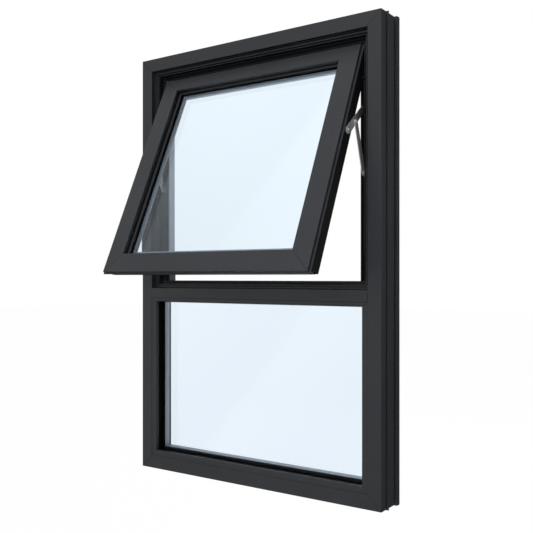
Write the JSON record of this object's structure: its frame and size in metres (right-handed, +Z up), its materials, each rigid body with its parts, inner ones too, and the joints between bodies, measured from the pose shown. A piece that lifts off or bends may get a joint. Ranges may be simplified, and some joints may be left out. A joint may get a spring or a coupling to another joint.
{
  "type": "top hung awning window",
  "caption": "Dark metal window with an upper top-hung sash standing open on friction stays, above a transom and a fixed lower light.",
  "frame": {"origin": "middle of the sill seat, on the underside of the rear fin of the frame", "axes": "+X to the right seen from outside, +Y from outside to inside, +Z up"},
  "size_m": [0.787, 0.3172, 1.207],
  "materials": {
    "frame_coat": "satin powder coat",
    "sash_coat": "satin powder coat",
    "handle_coat": "satin powder coat",
    "pane_glass": "clear float glass with a pale blue cast",
    "seal_rubber": "matt",
    "channel_black": "matt",
    "stay_shoe": "matt",
    "spacer_metal": "roll formed, matt",
    "stay_steel": "brushed"
  },
  "bodies": {
    "root": {"fixed_bead_bottom": "frame_coat", "fixed_bead_left": "frame_coat", "fixed_bead_right": "frame_coat", "fixed_bead_top": "frame_coat", "fixed_inner_gasket": "seal_rubber", "fixed_inner_pane": "pane_glass", "fixed_outer_gasket": "seal_rubber", "fixed_pane": "pane_glass", "fixed_spacer": "spacer_metal", "frame_head": "frame_coat", "frame_left_jamb": "frame_coat", "frame_right_jamb": "frame_coat", "frame_sill": "frame_coat", "frame_transom": "frame_coat", "handle_base": "handle_coat", "handle_lever": "handle_coat", "sash_bead_bottom": "sash_coat", "sash_bead_left": "sash_coat", "sash_bead_right": "sash_coat", "sash_bead_top": "sash_coat", "sash_bottom_rail": "sash_coat", "sash_channel_left": "channel_black", "sash_channel_right": "channel_black", "sash_inner_gasket": "seal_rubber", "sash_inner_pane": "pane_glass", "sash_left_stile": "sash_coat", "sash_outer_gasket": "seal_rubber", "sash_pane": "pane_glass", "sash_right_stile": "sash_coat", "sash_spacer": "spacer_metal", "sash_top_rail": "sash_coat", "stay_arm_left": "stay_steel", "stay_arm_right": "stay_steel", "stay_foot_left": "stay_shoe", "stay_foot_right": "stay_shoe", "stay_heel_left": "stay_shoe", "stay_heel_right": "stay_shoe", "stay_slider_left": "stay_shoe", "stay_slider_right": "stay_shoe", "stay_strut_left": "stay_steel", "stay_strut_right": "stay_steel", "stay_track_left": "channel_black", "stay_track_right": "channel_black", "vent_liner_left": "frame_coat", "vent_liner_right": "frame_coat", "vent_lip_head": "frame_coat", "vent_lip_left": "frame_coat", "vent_lip_right": "frame_coat", "vent_lip_sill": "frame_coat", "vent_seal_head": "seal_rubber", "vent_seal_left": "seal_rubber", "vent_seal_right": "seal_rubber", "vent_seal_sill": "seal_rubber"}
  },
  "joints": []
}
